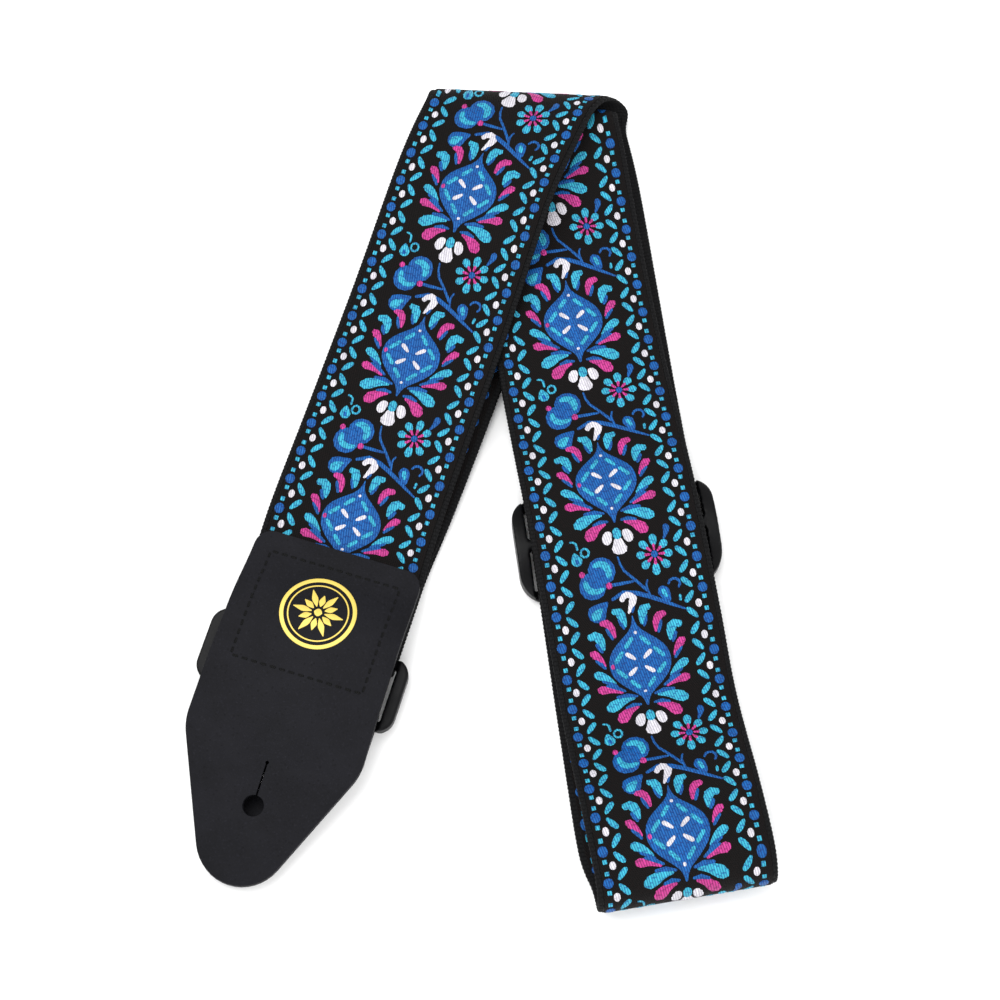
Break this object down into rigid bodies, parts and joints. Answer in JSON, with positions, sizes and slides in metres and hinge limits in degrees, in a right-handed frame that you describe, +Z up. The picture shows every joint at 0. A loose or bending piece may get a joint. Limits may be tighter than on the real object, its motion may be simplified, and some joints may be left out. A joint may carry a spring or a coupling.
{
  "type": "guitar strap",
  "caption": "Folded guitar strap: woven floral ribbon on wide webbing, leather ends with keyhole button holes, slider and ring for length adjustment.",
  "frame": {"origin": "middle of the folded strap's footprint, on the surface that it lies on", "axes": "+Z up from the surface; +Y towards the top fold, +X to the right as seen from above; longest side of the footprint along Y"},
  "size_m": [0.1642, 0.2537, 0.0219],
  "materials": {
    "webbing": "matt ribbed polypropylene webbing",
    "ribbon": "woven jacquard, satin thread",
    "thread": "black sewing thread",
    "leather": "fine-grained matt leather",
    "foil": "hot-stamped gold foil",
    "plastic": "satin moulded plastic"
  },
  "bodies": {
    "strap": {"webbing": "webbing", "jacquard_ribbon": "ribbon", "ribbon_stitch_left": "thread", "ribbon_stitch_right": "thread", "front_leather_end": "leather", "front_box_stitch": "thread", "foil_emblem": "foil"},
    "slider": {"slider": "plastic", "slider_loop": "webbing", "slider_bartack": "thread"},
    "ring": {"ring": "plastic"},
    "rear_end": {"rear_leather_end": "leather", "rear_end_stitch": "thread"}
  },
  "joints": [
    {"name": "slider_slide", "type": "slide", "parent": "strap", "child": "slider", "axis": [-0.14, 0.9901, 0], "range_m": [-0.006, 0.006]},
    {"name": "ring_hinge", "type": "hinge", "parent": "strap", "child": "ring", "pos_m": [-0.04746, -0.0481, 0.00425], "axis": [0.9548, -0.2974, 0], "range_deg": [0, 60]},
    {"name": "rear_end_hinge", "type": "hinge", "parent": "ring", "child": "rear_end", "pos_m": [-0.05305, -0.06605, 0.00425], "axis": [0.9548, -0.2974, 0], "range_deg": [0, 70]}
  ]
}
